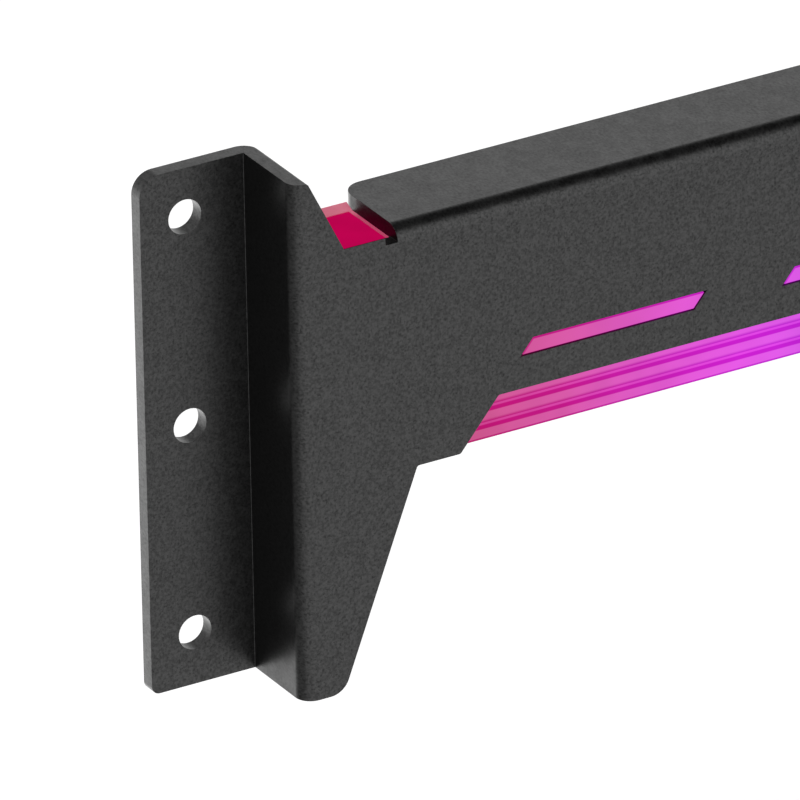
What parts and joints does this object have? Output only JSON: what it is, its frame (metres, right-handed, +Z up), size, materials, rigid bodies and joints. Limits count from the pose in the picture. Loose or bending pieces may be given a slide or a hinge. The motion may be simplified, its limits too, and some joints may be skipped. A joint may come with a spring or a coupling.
{
  "type": "graphics card support bracket",
  "caption": "Folded steel bracket screwed to a computer case's slots; its long shelf holds up a graphics card, and a translucent light bar glows through slanted slots.",
  "frame": {"origin": "centre of the middle screw hole, on the flange's back face that lies against the case", "axes": "+X along the arm, away from the flange; +Y out of the flange's back face, towards the case; +Z up, out of the card shelf"},
  "size_m": [0.224, 0.0102, 0.0504],
  "materials": {
    "powder_coat": "fine textured black powder coat on steel",
    "diffuser_plastic": "satin translucent acrylic, lit pink to violet from inside",
    "cover_plastic": "satin moulded plastic",
    "board_laminate": "white solder mask",
    "tape_foam": "thin double-sided tape",
    "screw_steel": "black oxide",
    "socket_nylon": "natural nylon",
    "pin_brass": "plated",
    "led_body": "white resin body with a clear filled cup",
    "capacitor_ceramic": "ceramic"
  },
  "bodies": {
    "root": {"bracket": "powder_coat", "diffuser": "diffuser_plastic", "rear_cover": "cover_plastic", "led_board": "board_laminate", "mounting_tape": "tape_foam", "cover_screws": "screw_steel", "socket_shell": "socket_nylon", "socket_pin_1": "pin_brass", "socket_pin_2": "pin_brass", "socket_pin_3": "pin_brass", "led_1": "led_body", "led_2": "led_body", "led_3": "led_body", "led_4": "led_body", "led_5": "led_body", "led_6": "led_body", "led_7": "led_body", "led_8": "led_body", "led_9": "led_body", "led_10": "led_body", "led_11": "led_body", "led_12": "led_body", "led_13": "led_body", "led_14": "led_body", "led_15": "led_body", "capacitor_1": "capacitor_ceramic", "capacitor_2": "capacitor_ceramic", "capacitor_3": "capacitor_ceramic", "capacitor_4": "capacitor_ceramic", "capacitor_5": "capacitor_ceramic", "capacitor_6": "capacitor_ceramic", "capacitor_7": "capacitor_ceramic", "capacitor_8": "capacitor_ceramic", "capacitor_9": "capacitor_ceramic", "capacitor_10": "capacitor_ceramic", "capacitor_11": "capacitor_ceramic", "capacitor_12": "capacitor_ceramic", "capacitor_13": "capacitor_ceramic", "capacitor_14": "capacitor_ceramic", "capacitor_15": "capacitor_ceramic"}
  },
  "joints": []
}
